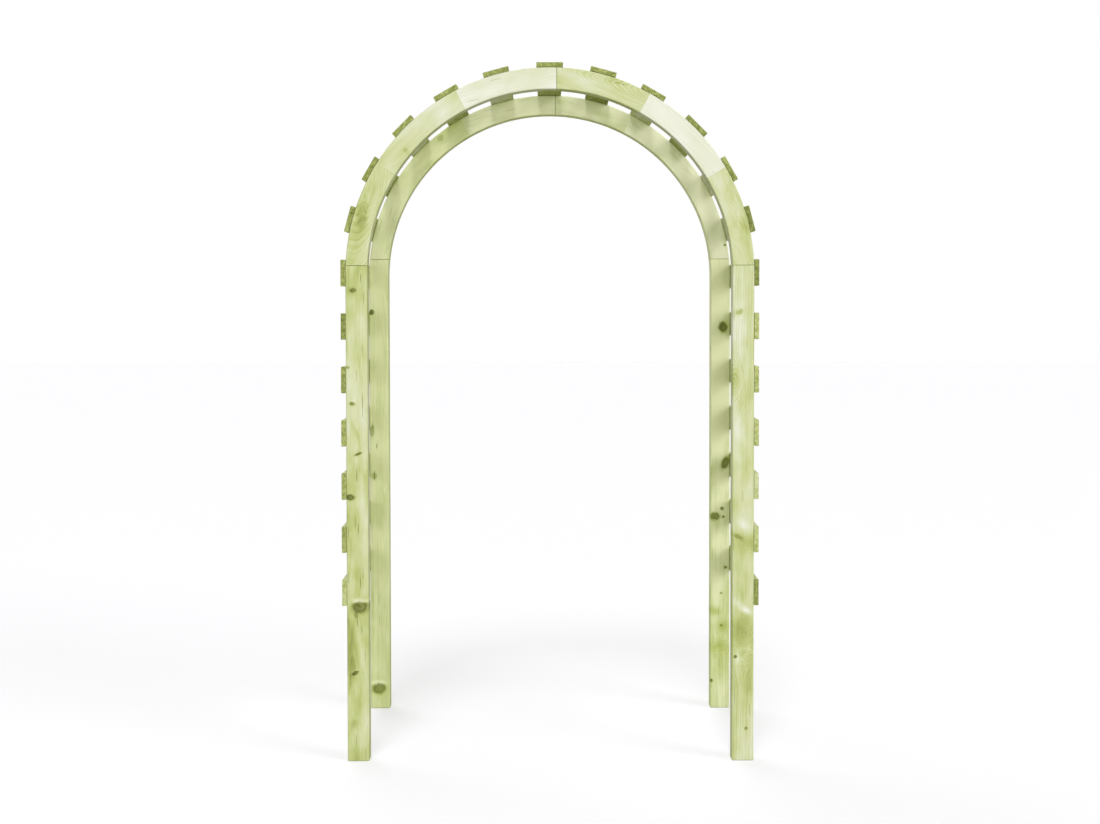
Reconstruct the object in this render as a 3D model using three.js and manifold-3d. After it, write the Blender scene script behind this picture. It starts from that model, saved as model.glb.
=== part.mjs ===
// A round-topped garden arch of planed pine: two glued frames on four posts, tied together by slats.
// Millimetres, +Z up, +X to the right and +Y to the rear. The origin is on the ground, in the middle.
import * as THREE from "three";
import { mergeVertices } from "three/addons/utils/BufferGeometryUtils.js";
import Module from "manifold-3d";

const wasm = await Module();
wasm.setup();

// Overall size
const archWidth = 1200; // over the outer edges of the posts
const archDepth = 600; // over the outside faces of the two frames
const springHeight = 1443; // from the ground to the centre of the round top

// Section of the posts and of the round top
const railWidth = 64; // seen from the front
const railThickness = 45; // from the outside face to the inside face
const railEase = 3; // rounding of the long arrises and of the feet

// Slats
const slatWidth = 78;
const slatThickness = 14;
const slatEase = 2;
const slatsPerQuarter = 6; // from the crown down to the springing, which has the last of them
const slatsPerSide = 12;
const seatGap = 0.3; // under a slat, where it lies on a frame

// Half laps that join the round top to the posts, and its two halves at the crown
const shoulderRise = 21; // of the shoulder on the outside face, over the springing
const footLapLength = 37;
const crownLapLength = 40;
const cheekGap = 0.3; // glue line between the two layers of a lap
const shoulderGap = 0.8; // open joint at the end of a layer

// Finger joints between the three boards of each half of the round top
const boardsPerHalf = 3;
const leftSeamAngles = [32.5, 62.7]; // degrees above the springing, from the foot of the half to the crown
const rightSeamAngles = [31, 60.6];
const fingerCount = 5;
const fingerLength = 10;
const fingerTip = 1.2; // flat at the end of a finger
const fingerGap = 0.3; // glue line, along the fingers

// Dowels in the laps at the feet of the round top
const dowelDiameter = 8;
const dowelLength = 30;
const dowelChamfer = 1;
const dowelSpacing = 32;
const dowelFit = 0.3; // clearance all round
const dowelsPerLap = 2;

// Screws: two at each crossing of a slat and a frame, and at the crown one in each layer of the laps
const screwDiameter = 4;
const screwHeadDiameter = 8;
const screwLength = 50;
const screwTipLength = 7;
const screwSink = 0.4; // of the head below the slat's face
const crownSpread = 24; // between the two screws of a crown lap, across the slat
const crossingSpread = 40; // between the two screws of any other crossing, across the slat
const screwFit = 0.3;
const driveDiameter = 3.6;
const driveDepth = 2;

// How finely round forms are divided
const stepsToCrown = 24; // of the round top, from a springing
const cornerSteps = 1; // each is two facets of a rounded corner
const pinSides = 12;
const slatHoleSides = 6;
const driveSides = 6;
const cutOverrun = 6; // how far a cut reaches past the wood that it cuts

// Sizes that follow from those above
const outerRadius = archWidth / 2;
const innerRadius = outerRadius - railWidth;
const centreRadius = outerRadius - railWidth / 2;
const quarterTurn = Math.PI / 2;
const stepAngle = quarterTurn / stepsToCrown;
const shoulderHeight = springHeight + shoulderRise;
const footLapTop = shoulderHeight + footLapLength;
const frameOffset = (archDepth - railThickness) / 2;
const quarterLength = outerRadius * quarterTurn;
const slatPitch = quarterLength / slatsPerQuarter;
const farReach = archWidth + springHeight; // past every side of the arch

// Finishes: pressure-treated pine is a pale yellow green, and its cream sapwood boards are paler
const timber = (colour) => new THREE.MeshStandardMaterial({ color: colour, roughness: 0.75, metalness: 0 });
const postFinish = timber(0xd0d59d);
const boardFinishes = [timber(0xcbd098), timber(0xd8dcae), timber(0xe9e9d0)];
const slatFinish = timber(0xb4bb7c);
const dowelFinish = timber(0xd9bd8b);
const zincFinish = new THREE.MeshStandardMaterial({ color: 0xc9c3a4, roughness: 0.4, metalness: 0.9 });

// A closed mesh as a solid that can be joined and cut
function toSolid(geometry) {
  const bare = geometry.clone();
  bare.deleteAttribute("normal");
  bare.deleteAttribute("uv");
  const merged = mergeVertices(bare);
  const vertProperties = merged.getAttribute("position").array;
  const triVerts = new Uint32Array(merged.index.array);
  return new wasm.Manifold(new wasm.Mesh({ numProp: 3, vertProperties, triVerts }));
}

// A solid as a mesh that can be drawn
function toGeometry(solid) {
  const { vertProperties, triVerts } = solid.getMesh();
  const shared = new THREE.BufferGeometry();
  shared.setAttribute("position", new THREE.BufferAttribute(vertProperties, 3));
  shared.setIndex(new THREE.BufferAttribute(triVerts, 1));
  const faceted = shared.toNonIndexed();
  faceted.computeVertexNormals();
  return faceted;
}

// A named piece
function piece(name, geometry, material) {
  const mesh = new THREE.Mesh(geometry, material);
  mesh.name = name;
  return mesh;
}

// What is left of a body once every cutter has been taken from it
function cutAway(geometry, cutters) {
  const left = cutters.reduce((body, cutter) => body.subtract(cutter), toSolid(geometry));
  return toGeometry(left);
}

// A cutting block between limits on each axis, past the whole arch where no limit is given
const everywhere = [-farReach, farReach];
function block({ x = everywhere, y = everywhere, z = everywhere }) {
  const size = [x, y, z].map(([low, high]) => high - low);
  const middle = [x, y, z].map(([low, high]) => (low + high) / 2);
  return toSolid(new THREE.BoxGeometry(...size).translate(...middle));
}

// A rectangle with rounded corners, about its centre
function easedRectangle(width, height, radius) {
  const right = width / 2 - radius;
  const top = height / 2 - radius;
  const shape = new THREE.Shape();
  shape.absarc(right, top, radius, 0, quarterTurn);
  shape.absarc(-right, top, radius, quarterTurn, 2 * quarterTurn);
  shape.absarc(-right, -top, radius, 2 * quarterTurn, 3 * quarterTurn);
  shape.absarc(right, -top, radius, 3 * quarterTurn, 4 * quarterTurn);
  return shape;
}

// The outline of a rail's section, drawn in by an inset: x across its width, y through its thickness
function railSection(inset) {
  const shape = easedRectangle(railWidth - 2 * inset, railThickness - 2 * inset, railEase);
  const points = shape.getPoints(cornerSteps);
  return points.slice(0, -1);
}

// A rail's section where the frame's line stands at an angle from +X, lowered by a drop along a post
function railRing(angle, drop = 0, inset = 0) {
  return railSection(inset).map((point) => {
    const radius = centreRadius + point.x;
    return [radius * Math.cos(angle), point.y, springHeight + radius * Math.sin(angle) - drop];
  });
}

// A closed skin over a row of rings, which follow the frame's line from the right foot to the left
function loft(rings) {
  const count = rings[0].length;
  const last = (rings.length - 1) * count;
  const index = [];
  for (let start = 0; start < last; start += count) {
    for (let i = 0; i < count; i += 1) {
      const next = (i + 1) % count;
      const [a, b] = [start + i, start + next];
      index.push(a, b, b + count);
      index.push(a, b + count, a + count);
    }
  }
  for (let i = 1; i < count - 1; i += 1) {
    index.push(0, i + 1, i);
    index.push(last, last + i, last + i + 1);
  }
  const geometry = new THREE.BufferGeometry();
  geometry.setAttribute("position", new THREE.Float32BufferAttribute(rings.flat(2), 3));
  geometry.setIndex(index);
  return geometry;
}

// Rings over a stretch of the round top, between two counts of steps from the right springing
function roundRings(fromStep, toStep) {
  const rings = [];
  for (let step = fromStep; step <= toStep; step += 1) rings.push(railRing(step * stepAngle));
  return rings;
}

// Layers of a half lap: the outer one is on the side that the frame shows to the outside
const outerLayer = (gap) => [-farReach, gap / 2];
const innerLayer = (gap) => [-gap / 2, farReach];

// A frame is modelled about the middle of its thickness, with its outside face towards -Y
const lapSteps = Math.ceil(Math.asin((footLapTop - springHeight + cutOverrun) / innerRadius) / stepAngle);

// Where the dowels of a foot lap stand across the rail's width
const dowelPlace = (i) => (i - (dowelsPerLap - 1) / 2) * dowelSpacing;
const dowelPlaces = Array.from({ length: dowelsPerLap }, (_, i) => dowelPlace(i));
const dowelHeight = shoulderHeight + footLapLength / 2;

// A dowel, or the bore for it, which lies along Y
function dowelGeometry(clearance) {
  const radius = dowelDiameter / 2 + clearance;
  const half = dowelLength / 2 + clearance;
  const profile = [
    new THREE.Vector2(0, -half),
    new THREE.Vector2(radius - dowelChamfer, -half),
    new THREE.Vector2(radius, dowelChamfer - half),
    new THREE.Vector2(radius, half - dowelChamfer),
    new THREE.Vector2(radius - dowelChamfer, half),
    new THREE.Vector2(0, half),
  ];
  return new THREE.LatheGeometry(profile, pinSides);
}

// The bores of the dowels in one foot lap
function dowelBores(side) {
  return dowelPlaces.map((place) => {
    const bore = dowelGeometry(dowelFit).translate(side * (centreRadius + place), 0, dowelHeight);
    return toSolid(bore);
  });
}

// Rings of a post, from its eased foot up to the round top on the right and down from it on the left
function postRings(side) {
  const angle = side > 0 ? 0 : 2 * quarterTurn;
  const foot = [railRing(angle, springHeight, railEase), railRing(angle, springHeight - railEase)];
  if (side > 0) return [...foot, ...roundRings(0, lapSteps)];
  return [...roundRings(2 * stepsToCrown - lapSteps, 2 * stepsToCrown), ...foot.reverse()];
}

// A post, whose inner layer runs on above the shoulder as the tongue of the lap
function postGeometry(side) {
  const cutters = [
    block({ z: [footLapTop, farReach] }),
    block({ y: outerLayer(cheekGap), z: [shoulderHeight, farReach] }),
    ...dowelBores(side),
  ];
  return cutAway(loft(postRings(side)), cutters);
}

// Everything past a finger joint, on the side that the sign names, as seen along the frame's line
function fingerComb(angle, sign) {
  const pitch = railThickness / fingerCount;
  const edge = -railThickness / 2;
  const shift = (-sign * fingerGap) / 2;
  const far = sign * (2 * outerRadius * stepAngle + fingerLength);
  const shape = new THREE.Shape();
  shape.moveTo(edge - cutOverrun, far);
  shape.lineTo(edge - cutOverrun, shift);
  for (let finger = 0; finger < fingerCount; finger += 1) {
    const start = edge + finger * pitch;
    shape.lineTo(start + fingerTip / 2, shift);
    shape.lineTo(start + (pitch - fingerTip) / 2, fingerLength + shift);
    shape.lineTo(start + (pitch + fingerTip) / 2, fingerLength + shift);
    shape.lineTo(start + pitch - fingerTip / 2, shift);
  }
  shape.lineTo(cutOverrun - edge, shift);
  shape.lineTo(cutOverrun - edge, far);
  const comb = new THREE.ExtrudeGeometry(shape, { depth: railWidth + 2 * cutOverrun, bevelEnabled: false });
  comb.translate(0, 0, innerRadius - cutOverrun);
  const along = new THREE.Vector3(-Math.sin(angle), 0, Math.cos(angle));
  const outward = new THREE.Vector3(Math.cos(angle), 0, Math.sin(angle));
  comb.applyMatrix4(new THREE.Matrix4().makeBasis(new THREE.Vector3(0, 1, 0), along, outward));
  comb.translate(0, 0, springHeight);
  return toSolid(comb);
}

// The open end of the lowest board, which drops its outer layer down to the post's shoulder
function footCutters(side) {
  return [
    block({ z: [-farReach, shoulderHeight + shoulderGap] }),
    block({ y: innerLayer(cheekGap), z: [-farReach, footLapTop + shoulderGap] }),
    ...dowelBores(side),
  ];
}

// The crown end of a highest board: the left one holds the outer layer of the lap, the right one the inner
function crownCutters(side) {
  const half = crownLapLength / 2;
  if (side < 0) {
    return [
      block({ x: [half, farReach] }),
      block({ x: [-half, farReach], y: innerLayer(cheekGap) }),
      crownHole(...crownScrewPlaces[0]),
    ];
  }
  return [
    block({ x: [-farReach, shoulderGap - half] }),
    block({ x: [-farReach, half + shoulderGap], y: outerLayer(cheekGap) }),
    crownHole(...crownScrewPlaces[1]),
  ];
}

// Where the boards of a half meet, from its springing to the crown, as angles from +X
function boardEnds(side) {
  const seams = (side < 0 ? leftSeamAngles : rightSeamAngles).map(THREE.MathUtils.degToRad);
  const ends = [0, ...seams, quarterTurn];
  return ends.map((angle) => (side < 0 ? 2 * quarterTurn - angle : angle));
}

// One board of the round top; boards are counted from the foot of their own half
function boardGeometry(side, number) {
  const lower = number === 0;
  const upper = number === boardsPerHalf - 1;
  const [first, last] = boardEnds(side).slice(number, number + 2).sort((a, b) => a - b);
  const startIsJoint = side > 0 ? !lower : !upper;
  const endIsJoint = side > 0 ? !upper : !lower;
  const startsAtSpringing = side > 0 && lower;
  const endsAtSpringing = side < 0 && lower;
  const spare = (2 * fingerLength) / innerRadius;
  const fromStep = Math.floor((first - (startsAtSpringing ? 0 : spare)) / stepAngle);
  const toStep = Math.ceil((last + (endsAtSpringing ? 0 : spare)) / stepAngle);
  const cutters = [];
  if (startIsJoint) cutters.push(fingerComb(first, -1));
  if (endIsJoint) cutters.push(fingerComb(last, 1));
  if (lower) cutters.push(...footCutters(side));
  if (upper) cutters.push(...crownCutters(side));
  return cutAway(loft(roundRings(fromStep, toStep)), cutters);
}

// A countersunk screw, or the hole for it, from its tip up to its head
function screwProfile(clearance) {
  const shank = screwDiameter / 2 + clearance;
  const head = screwHeadDiameter / 2 + clearance;
  return [
    new THREE.Vector2(0, -screwLength - clearance),
    new THREE.Vector2(shank, screwTipLength - screwLength),
    new THREE.Vector2(shank, shank - head),
    new THREE.Vector2(head, 0),
  ];
}

// A screw with a six-sided drive, its head's face at the origin and its tip towards -Z
function screwGeometry() {
  const profile = [...screwProfile(0), new THREE.Vector2(0, 0)];
  const drive = new THREE.CylinderGeometry(driveDiameter / 2, driveDiameter / 2, 2 * driveDepth, driveSides);
  const body = new THREE.LatheGeometry(profile, pinSides);
  return cutAway(body, [toSolid(drive)]).rotateX(quarterTurn);
}

// The hole for a screw whose head's face lies at a place, open above it
function screwHole(x, y, z, sides) {
  const head = screwHeadDiameter / 2 + screwFit;
  const profile = [
    ...screwProfile(screwFit),
    new THREE.Vector2(head, slatThickness),
    new THREE.Vector2(0, slatThickness),
  ];
  const hole = new THREE.LatheGeometry(profile, sides).rotateX(quarterTurn);
  return toSolid(hole.translate(x, y, z));
}

// One screw stands in each layer of the crown lap, on its own board's side of the crown
const screwHeight = springHeight + outerRadius + seatGap + slatThickness - screwSink;
const crownScrewPlaces = [
  [-crownSpread / 2, -railThickness / 4],
  [crownSpread / 2, railThickness / 4],
];
const crownHole = (x, y) => screwHole(x, y, screwHeight, pinSides);

// The pieces of one frame, named for the side of the arch that they end up on
function frameGroup(place, sideNames) {
  const group = new THREE.Group();
  for (const side of [-1, 1]) {
    const sideName = sideNames[side < 0 ? 0 : 1];
    group.add(piece(`${place}_${sideName}_post`, postGeometry(side), postFinish));
    for (let number = 0; number < boardsPerHalf; number += 1) {
      const name = `${place}_${sideName}_arch_board_${number + 1}`;
      group.add(piece(name, boardGeometry(side, number), boardFinishes[number % boardFinishes.length]));
    }
    dowelPlaces.forEach((across, i) => {
      const dowel = piece(`${place}_${sideName}_lap_dowel_${i + 1}`, dowelGeometry(0), dowelFinish);
      dowel.position.set(side * (centreRadius + across), 0, dowelHeight);
      group.add(dowel);
    });
    const [x, y] = crownScrewPlaces[side < 0 ? 0 : 1];
    const screw = piece(`${place}_${sideName}_crown_screw`, screwGeometry(), zincFinish);
    screw.position.set(x, y, screwHeight);
    group.add(screw);
  }
  return group;
}

// A plank for a slat about its own centre, its width along X and its length along Y
function plankGeometry() {
  const outline = easedRectangle(slatWidth, slatThickness, slatEase);
  const plank = new THREE.ExtrudeGeometry(outline, {
    depth: archDepth,
    bevelEnabled: false,
    curveSegments: cornerSteps,
  });
  return plank.translate(0, 0, -archDepth / 2).rotateX(quarterTurn);
}

// A slat, drilled for two screws where it crosses each frame
function slatGeometry() {
  const headHeight = slatThickness / 2 - screwSink;
  const holes = [-frameOffset, frameOffset].flatMap((y) => [
    screwHole(-crossingSpread / 2, y, headHeight, slatHoleSides),
    screwHole(crossingSpread / 2, y, headHeight, slatHoleSides),
  ]);
  return cutAway(plankGeometry(), holes);
}

// The crown slat, drilled for the four screws that pin the crown laps
function crownSlatGeometry(centreHeight) {
  const holes = crownScrewPlaces.flatMap(([x, y]) => [
    crownHole(x, y - frameOffset),
    crownHole(-x, frameOffset - y),
  ]);
  return cutAway(plankGeometry().translate(0, 0, centreHeight), holes).translate(0, 0, -centreHeight);
}

// Where a slat's centre lies, a distance along the outer edge from the crown, and how far it leans
function slatPlace(distance) {
  const lean = Math.min(distance / outerRadius, quarterTurn);
  const drop = Math.max(distance - quarterLength, 0);
  const radius = outerRadius + seatGap + slatThickness / 2;
  return { lean, x: radius * Math.sin(lean), z: springHeight + radius * Math.cos(lean) - drop };
}

// All slats: one at the crown, and the same row down each side
function slatGroup() {
  const group = new THREE.Group();
  const crown = slatPlace(0);
  const crownSlat = piece("slat_crown", crownSlatGeometry(crown.z), slatFinish);
  crownSlat.position.set(0, 0, crown.z);
  group.add(crownSlat);
  const geometry = slatGeometry();
  for (let number = 1; number <= slatsPerSide; number += 1) {
    const { lean, x, z } = slatPlace(number * slatPitch);
    for (const side of [-1, 1]) {
      const slat = piece(`slat_${side < 0 ? "left" : "right"}_${number}`, geometry, slatFinish);
      slat.rotation.y = side * lean;
      slat.position.set(side * x, 0, z);
      group.add(slat);
    }
  }
  return group;
}

// The arch: the rear frame is the front frame turned half round
const arch = new THREE.Group();
const frontFrame = frameGroup("front", ["left", "right"]);
const rearFrame = frameGroup("rear", ["right", "left"]);
frontFrame.position.y = -frameOffset;
rearFrame.position.y = frameOffset;
rearFrame.rotation.z = Math.PI;
arch.add(frontFrame, rearFrame, slatGroup());

export default arch;
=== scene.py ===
import random
from dataclasses import dataclass
from math import cos, pi, radians, sin, sqrt
from types import SimpleNamespace

import bmesh
import bpy
import numpy as np
from mathutils import Matrix, Vector, noise


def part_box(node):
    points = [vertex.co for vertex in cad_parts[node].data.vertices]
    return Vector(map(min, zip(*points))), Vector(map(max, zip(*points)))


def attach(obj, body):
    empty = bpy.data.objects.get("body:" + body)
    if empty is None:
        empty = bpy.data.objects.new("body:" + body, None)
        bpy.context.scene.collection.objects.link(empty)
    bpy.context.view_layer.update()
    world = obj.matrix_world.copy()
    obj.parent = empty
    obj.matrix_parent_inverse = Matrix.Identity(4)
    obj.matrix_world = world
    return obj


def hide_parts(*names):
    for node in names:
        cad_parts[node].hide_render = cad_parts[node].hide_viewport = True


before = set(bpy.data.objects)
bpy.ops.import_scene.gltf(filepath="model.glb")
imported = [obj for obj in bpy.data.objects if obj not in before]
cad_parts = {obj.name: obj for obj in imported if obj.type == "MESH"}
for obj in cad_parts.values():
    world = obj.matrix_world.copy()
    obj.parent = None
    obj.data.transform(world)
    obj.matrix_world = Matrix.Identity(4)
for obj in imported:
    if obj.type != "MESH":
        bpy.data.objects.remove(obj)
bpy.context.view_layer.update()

MM = 0.001
QUARTER = pi / 2
HANDS = {-1: "left", 1: "right"}
X_AXIS = Vector((1, 0, 0))
Y_AXIS = Vector((0, 1, 0))
Z_AXIS = Vector((0, 0, 1))

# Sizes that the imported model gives
post_low, post_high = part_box("front_right_post")
foot_board_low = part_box("front_right_arch_board_1")[0]
crown_board_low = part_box("front_right_arch_board_3")[0]
springing_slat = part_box("slat_left_6")
crown_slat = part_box("slat_crown")
LAP_GAP = 0.8 * MM
OUTER_RADIUS = post_high.x
RAIL_THICKNESS = post_high.y - post_low.y
FRAME_OFFSET = -(post_high.y + post_low.y) / 2
LAP_TOP = post_high.z
SHOULDER = foot_board_low.z - LAP_GAP
CROWN_REACH = LAP_GAP - crown_board_low.x
SPRING = (springing_slat[0].z + springing_slat[1].z) / 2
SLAT_WIDTH = crown_slat[1].x - crown_slat[0].x
SLAT_LENGTH = crown_slat[1].y - crown_slat[0].y
SLAT_THICKNESS = crown_slat[1].z - crown_slat[0].z

# Sizes of the timbers that the model's boxes don't give
RAIL_WIDTH = 64 * MM
RAIL_SIZE = (RAIL_WIDTH, RAIL_THICKNESS)
SLAT_SIZE = (SLAT_WIDTH, SLAT_THICKNESS)
RAIL_EASE = 3 * MM
INNER_RADIUS = OUTER_RADIUS - RAIL_WIDTH
CENTRE_RADIUS = OUTER_RADIUS - RAIL_WIDTH / 2
EDGE_RADII = (OUTER_RADIUS, INNER_RADIUS)
CHEEK_GAP = 0.3 * MM
BOARDS_PER_HALF = 3
SEAM_ANGLES = {-1: (32.5, 62.7), 1: (31.0, 60.6)}  # left and right, in degrees above the springing
FINGERS = 5
FINGER_LENGTH = 10 * MM
FINGER_TIP = 1.2 * MM
GLUE_LINE = 0.1 * MM
LAP_EASE = 0.7 * MM  # of the arrises where a layer of a lap ends
SLAT_EASE = 2 * MM
SLAT_END_EASE = 0.7 * MM
SLATS_PER_QUARTER = 6
SLATS_PER_SIDE = 12
DOWEL_RADIUS = 4.3 * MM  # of the bore
DOWEL_LENGTH = 30.6 * MM
DOWEL_SPACING = 32 * MM
DOWEL_HEIGHT = (SHOULDER + LAP_TOP) / 2

# Screws
HEAD_RADIUS = 4 * MM
SHANK_RADIUS = 2 * MM
SCREW_LENGTH = 50 * MM
TIP_LENGTH = 7 * MM
TIP_RADIUS = 0.1 * MM
SCREW_SINK = 0.4 * MM
SCREW_FIT = 0.3 * MM
HEAD_RIM = 0.3 * MM
HEAD_EASE = 0.15 * MM
HEAD_EASE_DEPTH = 0.1 * MM
DRIVE_RADIUS = 1.8 * MM
DRIVE_DEPTH = 2 * MM
DRIVE_LOBES = 6
DRIVE_SWING = 0.16  # how far the lobes stand out, as a share of the radius
CROSSING_SPREAD = 40 * MM
CROWN_SPREAD = 24 * MM

# How finely forms are divided, and how uneven planed timber is
STATION_STEP = 8 * MM
FLAT_STEP = 9 * MM
SUPPORT = 0.6 * MM  # from an arris to the first line of vertices on the flat beside it
ARRIS_STEPS = 4
ROUND_STEPS = 32
SHARP_ANGLE = radians(30)
OVERRUN = 6 * MM  # of a cut past the wood that it cuts
FAR = 4.0  # past every side of the arch
HOLLOW = 0.25 * MM
WEAR = 0.25  # how far an arris's radius wanders, as a share of it
WEAR_WAVES = 5  # a metre
KNOCK = 1.2
KNOCK_WAVES = 34
KNOCK_LEVEL = 0.45  # of the noise, above which a knock shows
CHECK_DEPTH = 6 * MM
END_CHECK_SHARE = 0.55  # of the slats' ends that have split


# Meshes

def add_object(name, data):
    """An object with this data, in the scene."""
    made = bpy.data.objects.new(name, data)
    bpy.context.scene.collection.objects.link(made)
    return made


def loft(name, rings):
    """An object with a closed skin over a row of rings, its faces turned outwards."""
    count = len(rings[0])
    faces = [tuple(range(count)), tuple(range((len(rings) - 1) * count, len(rings) * count))]
    for start in range(0, (len(rings) - 1) * count, count):
        for i in range(count):
            following = (i + 1) % count
            faces.append((start + i, start + following, start + count + following, start + count + i))
    mesh = bpy.data.meshes.new(name)
    mesh.from_pydata([point for ring in rings for point in ring], [], faces)
    work = bmesh.new()
    work.from_mesh(mesh)
    bmesh.ops.recalc_face_normals(work, faces=work.faces)
    work.to_mesh(mesh)
    work.free()
    return add_object(name, mesh)


def prism(outline, origin, first, second, depth):
    """A cutter: an outline on two axes, pushed through along a third."""
    ring = [origin + first * a + second * b for a, b in outline]
    return loft("cutter", [ring, [point + depth for point in ring]])


def block(x=(-FAR, FAR), y=(-FAR, FAR), z=(-FAR, FAR)):
    """A cutting block between limits, past the whole arch where none is given."""
    outline = [(x[0], y[0]), (x[1], y[0]), (x[1], y[1]), (x[0], y[1])]
    return prism(outline, Z_AXIS * z[0], X_AXIS, Y_AXIS, Z_AXIS * (z[1] - z[0]))


def turned(name, profile, origin, axis):
    """A round form from (radius, height) pairs along an axis that starts at the origin."""
    first = axis.orthogonal().normalized()
    second = axis.cross(first)
    angles = [4 * QUARTER * i / ROUND_STEPS for i in range(ROUND_STEPS)]
    circle = [(cos(angle), sin(angle)) for angle in angles]
    rings = []
    for radius, height in profile:
        rings.append([origin + axis * height + (first * a + second * b) * radius for a, b in circle])
    return loft(name, rings)


def cut(piece, cutters):
    """The piece without what its cutters take away. The cutters are used up."""
    for cutter in cutters:
        step = piece.modifiers.new("cut", "BOOLEAN")
        step.operation = "DIFFERENCE"
        step.solver = "EXACT"
        step.object = cutter
    seen = piece.evaluated_get(bpy.context.evaluated_depsgraph_get())
    mesh = bpy.data.meshes.new_from_object(seen)
    piece.modifiers.clear()
    piece.data = mesh
    for cutter in cutters:
        bpy.data.objects.remove(cutter)
    return piece


def shade(piece):
    """Smooth shading, with sharp edges kept crisp."""
    piece.data.polygons.foreach_set("use_smooth", [True] * len(piece.data.polygons))
    piece.data.set_sharp_from_angle(angle=SHARP_ANGLE)


# Timber forms

def flat_shares(length):
    """Where the lines of vertices lie on a flat of a section, as shares of its length."""
    count = max(1, round(length / FLAT_STEP))
    return [SUPPORT / length] + [i / count for i in range(1, count)] + [1 - SUPPORT / length]


def section(width, thickness, eases, inset):
    """Points round a section that is drawn in by an inset, each arris with its own radius."""
    corners = []
    for turn, ease in enumerate(eases):
        across = (width / 2 - inset - ease) * (1 if turn in (0, 3) else -1)
        through = (thickness / 2 - inset - ease) * (1 if turn in (0, 1) else -1)
        angles = [(turn + step / ARRIS_STEPS) * QUARTER for step in range(ARRIS_STEPS + 1)]
        corners.append([(across + ease * cos(a), through + ease * sin(a)) for a in angles])
    points = []
    for turn, corner in enumerate(corners):
        last = Vector(corner[-1])
        following = Vector(corners[(turn + 1) % 4][0])
        shares = flat_shares(width if turn % 2 == 0 else thickness)
        points += corner + [tuple(last.lerp(following, share)) for share in shares]
    return points


def worn_section(width, thickness, ease, length, inset, seed):
    """A section of planed timber at a place along it: faintly hollow, its arrises rounded unevenly."""
    eases = []
    for corner in range(4):
        slow = noise.noise(Vector((length * WEAR_WAVES, corner * 9, seed)))
        knock = noise.noise(Vector((length * KNOCK_WAVES, corner * 5, seed + 40)))
        eases.append(ease * (1 + WEAR * slow + KNOCK * max(0.0, knock - KNOCK_LEVEL)))
    points = []
    for across, through in section(width, thickness, eases, inset):
        dip = HOLLOW * (1 + noise.noise(Vector((length * 4, across * 25 + seed, through * 25)))) / 2
        points.append((across * (1 - 2 * dip / width), through * (1 - 2 * dip / thickness)))
    return points


def stations(start, end, ease_start=0.0, ease_end=0.0):
    """Places of the rings along a timber, each with how far its ring is drawn in to ease an end."""
    first = start + ease_start
    last = end - ease_end
    count = max(2, round((last - first) / STATION_STEP))
    rows = [(first + (last - first) * i / count, 0.0) for i in range(count + 1)]
    angles = [QUARTER * i / ARRIS_STEPS for i in range(ARRIS_STEPS)]
    arc = [(1 - cos(angle), 1 - sin(angle)) for angle in angles]
    if ease_start:
        rounding = [(start + ease_start * along, ease_start * inset) for along, inset in arc]
        rows = rounding + rows[:1] + [(first + SUPPORT, 0.0)] + rows[1:]
    if ease_end:
        rounding = [(end - ease_end * along, ease_end * inset) for along, inset in arc[::-1]]
        rows = rows[:-1] + [(last - SUPPORT, 0.0)] + rows[-1:] + rounding
    return rows


# A frame is made about the middle of its thickness, its outside face towards -Y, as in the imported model
ROUND_LENGTH = 2 * QUARTER * CENTRE_RADIUS
LINE_LENGTH = 2 * SPRING + ROUND_LENGTH


def outward(angle, side=1):
    """The way out from the middle of the round top, at an angle above the springing."""
    return Vector((side * cos(angle), 0, sin(angle)))


def upward(angle, side=1):
    """The way along the round top there, from its foot."""
    return Vector((-side * sin(angle), 0, cos(angle)))


def line_at(length):
    """The rail's centre and the way outwards, a length along the frame from its right foot."""
    over = length - SPRING
    if over < 0:
        return Vector((CENTRE_RADIUS, 0, length)), X_AXIS
    if over > ROUND_LENGTH:
        return Vector((-CENTRE_RADIUS, 0, SPRING - over + ROUND_LENGTH)), -X_AXIS
    out = outward(over / CENTRE_RADIUS)
    return Z_AXIS * SPRING + out * CENTRE_RADIUS, out


def rail(name, start, end, seed, ease_start=0.0, ease_end=0.0):
    """A length of rail along the frame's line."""
    rings = []
    for length, inset in stations(start, end, ease_start, ease_end):
        centre, out = line_at(length)
        points = worn_section(RAIL_WIDTH, RAIL_THICKNESS, RAIL_EASE, length, inset, seed)
        rings.append([centre + out * across + Y_AXIS * through for across, through in points])
    return loft(name, rings)


def finger_comb(angle, sign):
    """A cutter for all that lies past a finger joint, on the side that the sign names."""
    pitch = RAIL_THICKNESS / FINGERS
    edge = -RAIL_THICKNESS / 2
    shift = -sign * GLUE_LINE / 2
    far = sign * 3 * FINGER_LENGTH
    outline = [(edge - OVERRUN, far), (edge - OVERRUN, shift)]
    tip = FINGER_TIP / 2
    half = pitch / 2
    finger = ((tip, 0), (half - tip, FINGER_LENGTH), (half + tip, FINGER_LENGTH), (pitch - tip, 0))
    for number in range(FINGERS):
        outline += [(edge + number * pitch + place, reach + shift) for place, reach in finger]
    outline += [(OVERRUN - edge, shift), (OVERRUN - edge, far)]
    out = outward(angle)
    origin = Z_AXIS * SPRING + out * (INNER_RADIUS - OVERRUN)
    return prism(outline, origin, Y_AXIS, upward(angle), out * (RAIL_WIDTH + 2 * OVERRUN))


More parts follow.
